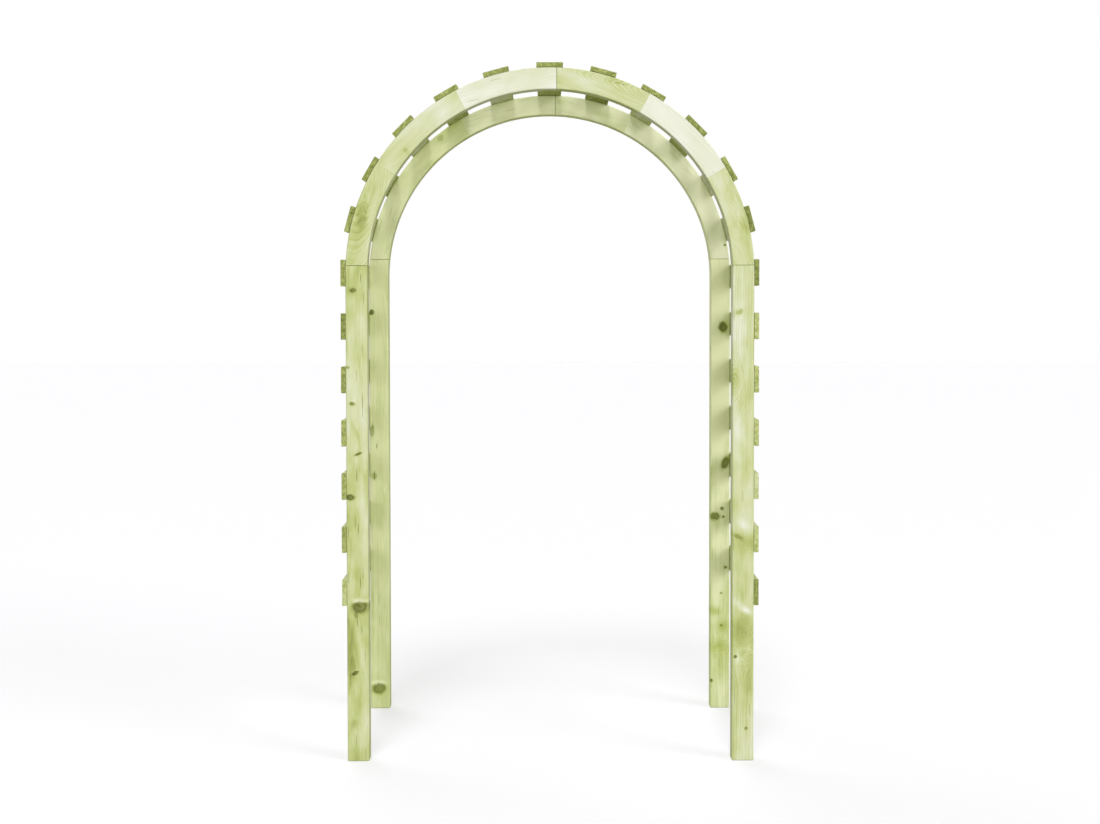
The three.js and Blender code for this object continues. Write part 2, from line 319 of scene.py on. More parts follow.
def seam_bars(outer, inner, face):
    """Cutters that ease both sides of a layer's end, on a face and round onto both edges."""
    out = (outer - inner).normalized()
    along = out.cross(Y_AXIS)
    reach = LAP_GAP / 2 + LAP_EASE
    diamond = [(reach, 0), (0, reach), (-reach, 0), (0, -reach)]
    face_place = inner - out * OVERRUN + Y_AXIS * (face * RAIL_THICKNESS / 2)
    bars = [prism(diamond, face_place, along, Y_AXIS, outer - inner + out * (2 * OVERRUN))]
    for edge in (outer, inner):
        bars.append(prism(diamond, edge, along, out, Y_AXIS * (face * (RAIL_THICKNESS / 2 + OVERRUN))))
    return bars


def foot_seams(side):
    """The easing at the two open ends of the lap between a post and the round top."""
    bars = []
    for height, face in ((SHOULDER + LAP_GAP / 2, -1), (LAP_TOP + LAP_GAP / 2, 1)):
        rise = height - SPRING
        outer, inner = (Vector((side * sqrt(r**2 - rise**2), 0, height)) for r in EDGE_RADII)
        bars += seam_bars(outer, inner, face)
    return bars


def crown_seams():
    """The easing at the two open ends of the lap between the halves of the round top."""
    bars = []
    for x, face in ((CROWN_REACH + LAP_GAP / 2, -1), (LAP_GAP / 2 - CROWN_REACH, 1)):
        outer, inner = (Vector((x, 0, SPRING + sqrt(r**2 - x**2))) for r in EDGE_RADII)
        bars += seam_bars(outer, inner, face)
    return bars


def dowel_bores(side):
    """The bores for the two dowels of a foot lap."""
    bores = []
    for place in (-DOWEL_SPACING / 2, DOWEL_SPACING / 2):
        middle = Vector((side * (CENTRE_RADIUS + place), -DOWEL_LENGTH / 2, DOWEL_HEIGHT))
        bores.append(turned("cutter", [(DOWEL_RADIUS, 0), (DOWEL_RADIUS, DOWEL_LENGTH)], middle, Y_AXIS))
    return bores


def screw_hole(head, axis):
    """The clear hole of a countersunk screw whose head lies at a place, open above it."""
    rim = HEAD_RADIUS + SCREW_FIT
    shank = SHANK_RADIUS + SCREW_FIT
    profile = [(shank, -SCREW_LENGTH), (shank, shank - rim - HEAD_RIM), (rim, -HEAD_RIM), (rim, OVERRUN)]
    return turned("cutter", profile, head, axis)


# Where the screws of a crown lap stand in a frame: one in each layer
CROWN_HEAD_HEIGHT = crown_slat[1].z - SCREW_SINK
CROWN_SCREWS = {
    -1: Vector((-CROWN_SPREAD / 2, -RAIL_THICKNESS / 4, CROWN_HEAD_HEIGHT)),
    1: Vector((CROWN_SPREAD / 2, RAIL_THICKNESS / 4, CROWN_HEAD_HEIGHT)),
}


def post_check(side, across, height, length, width):
    """A drying crack in the outside face of a front post. Its place and its sizes are in millimetres."""
    half_length = length * MM / 2
    half_width = width * MM / 2
    outline = [(0, -half_length), (half_width, 0), (0, half_length), (-half_width, 0)]
    x = side * CENTRE_RADIUS + across * MM
    origin = Vector((x, -RAIL_THICKNESS / 2 - CHECK_DEPTH, height * MM))
    return prism(outline, origin, X_AXIS, Z_AXIS, Y_AXIS * (2 * CHECK_DEPTH))


def make_post(name, side, seed, checks):
    """A post with the tongue of its lap, drilled for the dowels."""
    top = LAP_TOP + OVERRUN
    if side > 0:
        post = rail(name, 0, top, seed, ease_start=RAIL_EASE)
    else:
        post = rail(name, LINE_LENGTH - top, LINE_LENGTH, seed, ease_end=RAIL_EASE)
    cutters = [
        block(z=(LAP_TOP, FAR)),
        block(y=(-FAR, CHEEK_GAP / 2), z=(SHOULDER, FAR)),
        *foot_seams(side),
        *dowel_bores(side),
        *(post_check(side, *sizes) for sizes in checks),
    ]
    return cut(post, cutters)


def board_ends(side, number):
    """The angles above the springing at which a board of the round top ends."""
    ends = (0, *(radians(angle) for angle in SEAM_ANGLES[side]), QUARTER)
    return ends[number], ends[number + 1]


def make_board(name, side, number, seed):
    """One board of the round top. Boards are counted from the foot of their own half."""
    lower = number == 0
    upper = number == BOARDS_PER_HALF - 1
    ends = board_ends(side, number)
    first, last = ends if side > 0 else (2 * QUARTER - ends[1], 2 * QUARTER - ends[0])
    reach = 2 * FINGER_LENGTH
    crown_reach = CROWN_REACH + reach
    start = SPRING + first * CENTRE_RADIUS - (crown_reach if upper and side < 0 else reach)
    end = SPRING + last * CENTRE_RADIUS + (crown_reach if upper and side > 0 else reach)
    board = rail(name, start, end, seed)
    cutters = []
    if not (lower and side > 0 or upper and side < 0):
        cutters.append(finger_comb(first, -1))
    if not (lower and side < 0 or upper and side > 0):
        cutters.append(finger_comb(last, 1))
    if lower:
        cutters.append(block(z=(-FAR, SHOULDER + LAP_GAP)))
        cutters.append(block(y=(-CHEEK_GAP / 2, FAR), z=(-FAR, LAP_TOP + LAP_GAP)))
        cutters += foot_seams(side) + dowel_bores(side)
    if upper:
        if side < 0:
            cutters.append(block(x=(CROWN_REACH, FAR)))
            cutters.append(block(x=(-CROWN_REACH, FAR), y=(-CHEEK_GAP / 2, FAR)))
        else:
            cutters.append(block(x=(-FAR, LAP_GAP - CROWN_REACH)))
            cutters.append(block(x=(-FAR, CROWN_REACH + LAP_GAP), y=(-FAR, CHEEK_GAP / 2)))
        cutters += [*crown_seams(), screw_hole(CROWN_SCREWS[side], Z_AXIS)]
    return cut(board, cutters)


def slat_axes(number, side):
    """A slat's centre, the way across its width and the way out of its outer face."""
    low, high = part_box(slat_name(number, side))
    lean = side * min(number / SLATS_PER_QUARTER, 1) * QUARTER
    return (low + high) / 2, outward(-lean), upward(-lean)


def slat_name(number, side):
    if number == 0:
        return "slat_crown"
    return f"slat_{HANDS[side]}_{number}"


def slat_screws(number, side):
    """Where the heads of a slat's screws lie."""
    centre, across, out = slat_axes(number, side)
    head = centre + out * (SLAT_THICKNESS / 2 - SCREW_SINK)
    return [
        head + across * (u * CROSSING_SPREAD / 2) + Y_AXIS * (v * FRAME_OFFSET)
        for u in (-1, 1)
        for v in (-1, 1)
    ]


def crown_screws():
    """Names of the crown screws' nodes, with where their heads lie."""
    places = {}
    for side, place in CROWN_SCREWS.items():
        places[f"front_{HANDS[side]}_crown_screw"] = place - Y_AXIS * FRAME_OFFSET
        places[f"rear_{HANDS[-side]}_crown_screw"] = Vector((-place.x, FRAME_OFFSET - place.y, place.z))
    return places


def end_check(number, side, chance):
    """Cutters for the short splits that open in some slats' ends as they dry."""
    centre, across, out = slat_axes(number, side)
    cutters = []
    for end in (-1, 1):
        place = chance.uniform(-0.38, 0.38) * SLAT_WIDTH
        length = chance.uniform(14, 40) * MM
        width = chance.uniform(0.5, 1.1) * MM
        if chance.random() < END_CHECK_SHARE:
            origin = centre + across * place + Y_AXIS * (end * SLAT_LENGTH / 2) - out * SLAT_THICKNESS
            outline = [(-width / 2, OVERRUN), (width / 2, OVERRUN), (0, -length)]
            cutters.append(prism(outline, origin, across, Y_AXIS * end, out * (2 * SLAT_THICKNESS)))
    return cutters


def make_slat(name, number, side, seed, chance):
    """A slat, drilled and countersunk where it crosses the frames."""
    centre, across, out = slat_axes(number, side)
    rings = []
    for length, inset in stations(-SLAT_LENGTH / 2, SLAT_LENGTH / 2, SLAT_END_EASE, SLAT_END_EASE):
        points = worn_section(SLAT_WIDTH, SLAT_THICKNESS, SLAT_EASE, length, inset, seed)
        rings.append([centre + across * u + out * v + Y_AXIS * length for u, v in points])
    heads = crown_screws().values() if number == 0 else slat_screws(number, side)
    cutters = [screw_hole(head, out) for head in heads] + end_check(number, side, chance)
    return cut(loft(name, rings), cutters)


# Screws

def drive_star():
    """The outline of a six-lobed recess."""
    outline = []
    for i in range(4 * DRIVE_LOBES):
        radius = DRIVE_RADIUS * (1 + DRIVE_SWING * cos(QUARTER * i))
        angle = QUARTER * i / DRIVE_LOBES
        outline.append((radius * cos(angle), radius * sin(angle)))
    return outline


def screw_mesh():
    """A countersunk wood screw, its head's face at the origin and its tip towards -Z."""
    profile = [
        (TIP_RADIUS, -SCREW_LENGTH),
        (SHANK_RADIUS, TIP_LENGTH - SCREW_LENGTH),
        (SHANK_RADIUS, SHANK_RADIUS - HEAD_RADIUS - HEAD_RIM),
        (HEAD_RADIUS, -HEAD_RIM),
        (HEAD_RADIUS, -HEAD_EASE_DEPTH),
        (HEAD_RADIUS - HEAD_EASE, 0),
    ]
    screw = turned("screw", profile, Vector(), Z_AXIS)
    recess = prism(drive_star(), Z_AXIS * -DRIVE_DEPTH, X_AXIS, Y_AXIS, Z_AXIS * (2 * DRIVE_DEPTH))
    cut(screw, [recess])
    mesh = screw.data
    bpy.data.objects.remove(screw)
    return mesh


def make_screws(name, mesh, heads, axis, chance):
    """An object with a screw at each place, turned by chance, all driven along one axis."""
    work = bmesh.new()
    for head in heads:
        copy = mesh.copy()
        spin = Matrix.Rotation(chance.uniform(0, 4 * QUARTER), 4, "Z")
        copy.transform(Matrix.Translation(head) @ axis.to_track_quat("Z", "Y").to_matrix().to_4x4() @ spin)
        work.from_mesh(copy)
        bpy.data.meshes.remove(copy)
    joined = bpy.data.meshes.new(name)
    work.to_mesh(joined)
    work.free()
    made = add_object(name, joined)
    shade(made)
    return made


# Materials

def srgb(red, green, blue):
    """A colour given as it looks on a screen, 0 to 255, as a linear colour."""
    shares = [value / 255 for value in (red, green, blue)]
    return (*(s / 12.92 if s <= 0.04045 else ((s + 0.055) / 1.055) ** 2.4 for s in shares), 1.0)


@dataclass
class Value:
    """A number in a node tree, with which a formula is written as arithmetic."""
    graph: object
    socket: object

    def __add__(self, other):
        return self.graph.math("ADD", self, other)

    def __sub__(self, other):
        return self.graph.math("SUBTRACT", self, other)

    def __mul__(self, other):
        return self.graph.math("MULTIPLY", self, other)

    def __truediv__(self, other):
        return self.graph.math("DIVIDE", self, other)

    def __rsub__(self, other):
        return self.graph.math("SUBTRACT", other, self)


class Graph:
    """A node tree, with short ways to add nodes and to link them."""

    def __init__(self, tree):
        self.tree = tree

    def fill(self, node, values):
        """Sets a node's inputs, or links them where the value is a node's."""
        for key, value in values.items():
            if isinstance(value, Value):
                self.tree.links.new(value.socket, node.inputs[key])
            else:
                node.inputs[key].default_value = value

    def node(self, kind, values=None, **settings):
        made = self.tree.nodes.new(f"ShaderNode{kind}")
        for name, setting in settings.items():
            setattr(made, name, setting)
        self.fill(made, values or {})
        return made

    def out(self, node, name=0):
        return Value(self, node.outputs[name])

    def math(self, operation, *values):
        return self.out(self.node("Math", dict(enumerate(values)), operation=operation))

    def vector(self, operation, *values, result="Vector"):
        made = self.node("VectorMath", dict(enumerate(values)), operation=operation)
        return self.out(made, result)

    def combine(self, x, y, z):
        return self.out(self.node("CombineXYZ", {"X": x, "Y": y, "Z": z}))

    def split(self, vector):
        made = self.node("SeparateXYZ", {"Vector": vector})
        return [self.out(made, axis) for axis in "XYZ"]

    def step(self, value, low, high, to_low=0.0, to_high=1.0):
        """A smooth step from one value to another, as the first value goes from low to high."""
        values = {"Value": value, "From Min": low, "From Max": high, "To Min": to_low, "To Max": to_high}
        return self.out(self.node("MapRange", values, interpolation_type="SMOOTHSTEP"), "Result")

    def blend(self, factor, first, second):
        """Two numbers, mixed by a factor."""
        return first + (second - first) * factor

    def mix(self, factor, first, second, how="MIX"):
        """Two colours, mixed by a factor."""
        values = {0: factor, 6: first, 7: second}
        return self.out(self.node("Mix", values, data_type="RGBA", blend_type=how), 2)

    def noise(self, place, waves, detail=2.0, result="Fac"):
        """Soft noise about a half, with so many waves a metre along each axis."""
        stretched = self.vector("MULTIPLY", place, waves)
        values = {"Vector": stretched, "Scale": 1.0, "Detail": detail}
        return self.out(self.node("TexNoise", values), result)

    def ramp(self, factor, stops):
        """A colour from a row of (place, colour) stops, as colours look on a screen."""
        made = self.node("ValToRGB", {"Fac": factor})
        while len(made.color_ramp.elements) < len(stops):
            made.color_ramp.elements.new(1.0)
        for element, (place, colour) in zip(made.color_ramp.elements, stops):
            element.position = place
            element.color = srgb(*colour)
        return self.out(made)

    def bump(self, height):
        """The normal of a surface that stands this many millimetres high."""
        return self.out(self.node("Bump", {"Strength": 1.0, "Distance": MM, "Height": height}))


def new_group(name, inputs, outputs):
    """A node group, as its graph, its inputs and a function that sets its outputs."""
    tree = bpy.data.node_groups.new(name, "ShaderNodeTree")
    for way, sockets in (("INPUT", inputs), ("OUTPUT", outputs)):
        for label, kind in sockets.items():
            tree.interface.new_socket(label, in_out=way, socket_type=f"NodeSocket{kind}")
    graph = Graph(tree)
    source = tree.nodes.new("NodeGroupInput")
    target = tree.nodes.new("NodeGroupOutput")
    given = {label.lower().replace(" ", "_"): graph.out(source, label) for label in inputs}
    return graph, SimpleNamespace(**given), lambda **values: graph.fill(target, values)


# What a knot is given, with its unit, and what each knot passes on to the next
KNOT_UNITS = {
    "Across": MM, "Along": MM, "Radius": MM,
    "Stretch": 1, "Slant": 1, "Lens": 1, "Dark": 1, "Halo": 1, "Cap": 1, "Swirl": 1,
}
KNOT_SUMS = ("Bend", "Push", "Core", "Rim", "Heart", "Tone")


def knot_group():
    """One knot: how it bends and lifts the rings, its core and rim, and the tone there."""
    sums = dict.fromkeys(KNOT_SUMS, "Float")
    inputs = {"Grain": "Vector", **dict.fromkeys(KNOT_UNITS, "Float"), **sums}
    graph, knot, finish = new_group("knot", inputs, sums)
    x, y, z = graph.split(knot.grain)
    ragged = graph.noise(knot.grain, (110, 80, 110), 3.0) - 0.5
    warp_u, warp_v, _ = graph.split(graph.noise(knot.grain, (26, 20, 26), 2.0, "Color"))
    loose = 1.6 - knot.dark * 1.6
    off = x - knot.across - z * 0.15

    # The place across and along the knot, in shares of its size
    u = off / knot.radius + (warp_u - 0.5) * loose
    v = (y - knot.along - off * knot.slant) / (knot.stretch * knot.radius) + (warp_v - 0.5) * loose
    square = u * u + v * v
    round_reach = graph.math("SQRT", square)
    lens_reach = graph.math("ABSOLUTE", v) * 1.5 + u * u * 0.7
    edge = graph.blend(knot.lens, round_reach, lens_reach) + ragged * 0.9
    near = graph.math("EXPONENT", square * -0.33)
    close = graph.math("EXPONENT", square * -0.6)
    over = v - 1.25
    cap = graph.math("EXPONENT", over * over * -4.0 - u * u * 0.6)
    core = graph.step(edge, 1.1, 0.75) * knot.dark
    surround = graph.step(edge, 1.9, 0.9) * knot.dark * 0.7
    rim = graph.step(edge, 0.5, 0.95) * graph.step(edge, 1.35, 1.0) * knot.dark
    rings = graph.math("SINE", edge * 15.0) * 0.2 + graph.step(u, 0.7, -0.7) * 0.4 + 0.3
    finish(
        Bend=knot.bend - u * near * knot.radius * knot.swirl * 0.8,
        Push=knot.push + close * knot.radius * knot.swirl * 0.9,
        Core=graph.math("MAXIMUM", knot.core, core),
        Rim=graph.math("MAXIMUM", knot.rim, rim),
        Heart=knot.heart + core * rings,
        Tone=knot.tone + near * knot.halo + surround - cap * knot.cap,
    )
    return graph.tree


# Treated pine by how much green it took up: cream at 0, end grain about 1.6
PINE_TONES = (
    (0.0, (245, 243, 234)), (0.2, (231, 232, 212)), (0.4, (219, 222, 188)),
    (0.6, (210, 214, 167)), (0.8, (200, 206, 148)), (1.0, (187, 195, 125)),
    (1.3, (164, 172, 98)), (1.6, (141, 149, 81)), (2.0, (108, 116, 56)),
)
DEEPEST_TONE = PINE_TONES[-1][0]
VIVID_TINT = (0.945, 1.0, 0.62, 1)
KNOT_TONES = ((0.0, (146, 152, 86)), (0.5, (112, 117, 56)), (1.0, (72, 74, 32)))
KNOT_RIM = srgb(66, 68, 28)
PITH_WANDER = 34 * MM
PITH_RIPPLE = 5 * MM
PINE_GLOSS = 0.12

# What the pine is given: numbers that a wood has, and numbers that its material works out
WOOD_NUMBERS = ("Fade", "End", "Vivid", "Contrast", "Stain", "Streak")
PLACE_NUMBERS = ("Seed", "Pith across", "Pith depth", "Lean across", "Lean depth", "Spacing")


def pine_group():
    """Treated pine from a place in its board: rings, fibres, stains, drying checks, end grain, and a
    little painted shade along the arrises.
    """
    inputs = {"Grain": "Vector", "Fibre": "Vector", "Arris": "Float"}
    inputs.update(dict.fromkeys(WOOD_NUMBERS + PLACE_NUMBERS + KNOT_SUMS, "Float"))
    outputs = {"Color": "Color", "Roughness": "Float", "Normal": "Vector"}
    graph, wood, finish = new_group("pine", inputs, outputs)
    x, y, z = graph.split(wood.grain)
    seed = wood.seed
    place = graph.vector("ADD", wood.grain, graph.combine(seed * 1.7, seed * 3.1, seed * 2.3))

    # Growth rings: the distance from a pith that leans and wanders
    wander_x, _, wander_z = graph.split(graph.noise(place, (7, 1.1, 7), 1.0, "Color"))
    ripple_x, _, ripple_z = graph.split(graph.noise(place, (42, 5, 42), 1.0, "Color"))
    from_x = x + wood.bend - wood.pith_across - wood.lean_across * y
    from_x = from_x + (wander_x - 0.5) * PITH_WANDER + (ripple_x - 0.5) * PITH_RIPPLE
    from_z = z - wood.pith_depth - wood.lean_depth * y
    from_z = from_z + (wander_z - 0.5) * PITH_WANDER + (ripple_z - 0.5) * PITH_RIPPLE
    radius = graph.math("SQRT", from_x * from_x + from_z * from_z) + wood.push
    years = radius / wood.spacing
    weather = {"W": years * 0.45 + seed, "Detail": 1.0}
    uneven = graph.out(graph.node("TexNoise", weather, noise_dimensions="1D"))
    ring = graph.math("FRACT", years + uneven * 1.5)
    late = graph.step(ring, 0.25, 0.86) * graph.step(ring, 1.0, 0.92)

    # Fibres, streaks and stains
    fibre = graph.noise(place, (820, 20, 820), 3.0) - 0.5
    streak = graph.noise(place, (130, 2.4, 130), 2.0) - 0.5
    stain = graph.noise(place, (15, 3.4, 15), 3.0) - 0.5
    mottle = graph.noise(graph.vector("ADD", place, (0.9, 0.2, 0.4)), (34, 11, 34), 2.0) - 0.5
    cloud = graph.noise(place, (3, 1.5, 3), 1.0) - 0.5
    clear = graph.step(graph.noise(place, (10, 2, 10), 1.0), 0.3, 0.62, 0.35, 1.0)

    # Short drying checks, scattered along the fibres
    cells = graph.vector("MULTIPLY", graph.combine(x + seed, y + seed, 0.0), (46, 6, 0))
    voronoi = graph.node("TexVoronoi", {"Vector": cells, "Scale": 1.0}, voronoi_dimensions="2D")
    away_x, away_y, _ = graph.split(graph.vector("SUBTRACT", cells, graph.out(voronoi, "Position")))
    chosen = graph.step(graph.split(graph.out(voronoi, "Color"))[0], 0.7, 0.72)
    thin = graph.step(graph.math("ABSOLUTE", away_x), 0.028, 0.01)
    short = graph.step(graph.math("ABSOLUTE", away_y), 0.13, 0.07)
    check = chosen * thin * short

    # End grain, by how squarely a face cuts the fibres
    normal = graph.out(graph.node("NewGeometry"), "True Normal")
    facing = graph.math("ABSOLUTE", graph.vector("DOT_PRODUCT", normal, wood.fibre, result="Value"))
    end = graph.step(facing, 0.25, 0.9)
    speckle = graph.noise(graph.vector("ADD", place, (0.3, 0.7, 0.1)), (620, 90, 620), 3.0) - 0.5
    blotch = graph.noise(graph.vector("ADD", place, (0.6, 0.1, 0.8)), (95, 20, 95), 2.0) - 0.5

    side_tone = wood.tone + wood.fade * y + (late - 0.3) * clear * wood.contrast
    side_tone = side_tone + fibre * 0.16 + streak * wood.streak
    side_tone = side_tone + (stain * 2.4 + mottle * 1.6 + cloud) * wood.stain
    # The arris term gives a slightly deeper tone along the rounded arrises: painted shade at the edges.
    side_tone = side_tone + check * 0.9 + wood.arris * 0.06
    end_tone = wood.end + (late - 0.3) * 0.35 + speckle * 0.45 + blotch * 1.8 + cloud
    tone = graph.blend(end, side_tone, end_tone)
    colour = graph.ramp(tone / DEEPEST_TONE, [(spot / DEEPEST_TONE, shown) for spot, shown in PINE_TONES])
    colour = graph.mix(wood.vivid, colour, VIVID_TINT, "MULTIPLY")
    heart = graph.ramp(wood.heart + fibre * 0.6, KNOT_TONES)
    colour = graph.mix(wood.core * 0.95, colour, heart)
    colour = graph.mix(wood.rim * 0.6, colour, KNOT_RIM)

    height = late * clear * 0.05 + fibre * 0.16 + streak * 0.1 - check * 0.7 - wood.rim * 0.12
    height = graph.blend(end, height, late * 0.12 + speckle * 0.5)
    rough = fibre * 0.3 + 0.78 - late * clear * 0.08 + end * 0.1 - wood.core * 0.12
    finish(Color=colour, Roughness=rough, Normal=graph.bump(height))
    return graph.tree


@dataclass
class Knot:
    """A knot in a board. Its place and its radius are in millimetres."""
    across: float
    along: float
    radius: float
    dark: float = 0.8  # of the core and its rim
    halo: float = 0.2  # how much deeper the wood's tone is round it, or paler below zero
    stretch: float = 1.0
    slant: float = 0.0
    lens: float = 0.0  # 0 is round, and 1 a lens that points across the board
    cap: float = 0.0  # how much paler the wood is over it
    swirl: float = 1.0  # how far the rings bend round it


def patch(across, along, radius, halo, stretch=1.0):
    """A soft patch of deeper tone, or paler where its halo is below zero: a stain that took up more or
    less of the treatment, or, where it lies under a slat, a painted slat shadow.
    """
    return Knot(across, along, radius, dark=0, halo=halo, stretch=stretch, swirl=0)


def curl(across, along, radius, halo, swirl=1.0, stretch=1.0, slant=0.0):
    """Grain that turns about a knot under the surface."""
    return Knot(across, along, radius, dark=0, halo=halo, stretch=stretch, slant=slant, swirl=swirl)


@dataclass
class Wood:
    """What one board is like. Its pith and the spacing of its rings are in millimetres."""
    tone: float
    fade: float = 0.0  # change of tone a metre along the board
    end: float = 1.3  # tone of the end grain
    vivid: float = 0.0
    pith: tuple = (10, 60)
    lean: tuple = (0.01, 0.01)
    spacing: float = 6
    contrast: float = 0.3
    stain: float = 0.5
    streak: float = 0.16
    knots: tuple = ()


def new_material(name):
    """A material, as its graph and its Principled shader."""
    material = bpy.data.materials.new(name)
    material.use_nodes = True
    return material, Graph(material.node_tree), material.node_tree.nodes["Principled BSDF"]


def pine_material(name, wood, along, seed):
    """The material of one board."""
    material, graph, shader = new_material(name)
    grain = graph.out(graph.node("Attribute", attribute_name="grain"), "Vector")
    arris = graph.out(graph.node("Attribute", attribute_name="arris"), "Fac")
    sums = {**dict.fromkeys(KNOT_SUMS, 0.0), "Tone": wood.tone}
    for knot in wood.knots:
        sizes = {label: getattr(knot, label.lower()) * unit for label, unit in KNOT_UNITS.items()}
        made = graph.node("Group", {"Grain": grain, **sizes, **sums}, node_tree=KNOT_TREE)
        sums = {label: graph.out(made, label) for label in KNOT_SUMS}
    numbers = (seed, wood.pith[0] * MM, wood.pith[1] * MM, *wood.lean, wood.spacing * MM)
    values = {"Grain": grain, "Fibre": along, "Arris": arris, **dict(zip(PLACE_NUMBERS, numbers)), **sums}
    values.update({label: getattr(wood, label.lower()) for label in WOOD_NUMBERS})
    pine = graph.node("Group", values, node_tree=PINE_TREE)
    graph.fill(shader, {
        "Base Color": graph.out(pine, "Color"),
        "Roughness": graph.out(pine, "Roughness"),
        "Normal": graph.out(pine, "Normal"),
        "Specular IOR Level": PINE_GLOSS,
    })
    return material


def beech_material():
    """Turned beech, with the short flecks of its rays."""
    material, graph, shader = new_material("beech")
    place = graph.out(graph.node("TexCoord"), "Object")
    fleck = graph.noise(place, (900, 260, 900), 2.0)
    fibre = graph.noise(place, (500, 40, 500), 3.0)
    graph.fill(shader, {
        "Base Color": graph.ramp(fleck * 0.5 + fibre * 0.5, (
            (0.3, (190, 150, 104)),
            (0.7, (224, 190, 142)),
        )),
        "Roughness": fibre * 0.2 + 0.5,
        "Normal": graph.bump(fibre * 0.1),
    })
    return material


def zinc_material():
    """Yellow zinc plate, cloudy and finely scuffed."""
    material, graph, shader = new_material("yellow_zinc")
    place = graph.out(graph.node("TexCoord"), "Object")
    cloud = graph.noise(place, (260, 260, 260), 3.0)
    scuff = graph.noise(place, (2400, 2400, 2400), 2.0)
    graph.fill(shader, {
        "Base Color": graph.ramp(cloud, (
            (0.3, (172, 152, 92)),
            (0.55, (206, 196, 150)),
            (0.75, (190, 190, 176)),
        )),
        "Roughness": cloud * 0.3 + scuff * 0.15 + 0.15,
        "Normal": graph.bump(scuff * 0.02),
        "Metallic": 1.0,
    })
    return material


def vertex_places(piece):
    places = np.empty(len(piece.data.vertices) * 3)
    piece.data.vertices.foreach_get("co", places)
    return places.reshape(-1, 3)


def write(piece, name, kind, field, values):
    """Gives each vertex a value that the material reads."""
    attribute = piece.data.attributes.new(name, kind, "POINT")
    attribute.data.foreach_set(field, values.astype(np.float32).ravel())


def dress(piece, node, wood, seed, origin, axes, size, out=None):
    """Puts a timber in its node's place, with its wood. A rail needs how far out its vertices lie."""
    shade(piece)
    local = (vertex_places(piece) - np.array(origin)) @ np.array(axes).T
    across = local[:, 0] if out is None else out
    gaps = [np.maximum(reach / 2 - np.abs(spot), 0) for reach, spot in zip(size, (across, local[:, 2]))]
    write(piece, "grain", "FLOAT_VECTOR", "vector", local)
    write(piece, "arris", "FLOAT", "value", np.clip(1 - np.hypot(*gaps) / (2 * RAIL_EASE), 0, 1))
    piece.data.materials.clear()
    piece.data.materials.append(pine_material(f"{node}_pine", wood, axes[1], seed))
    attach(piece, "root")
    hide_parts(node)


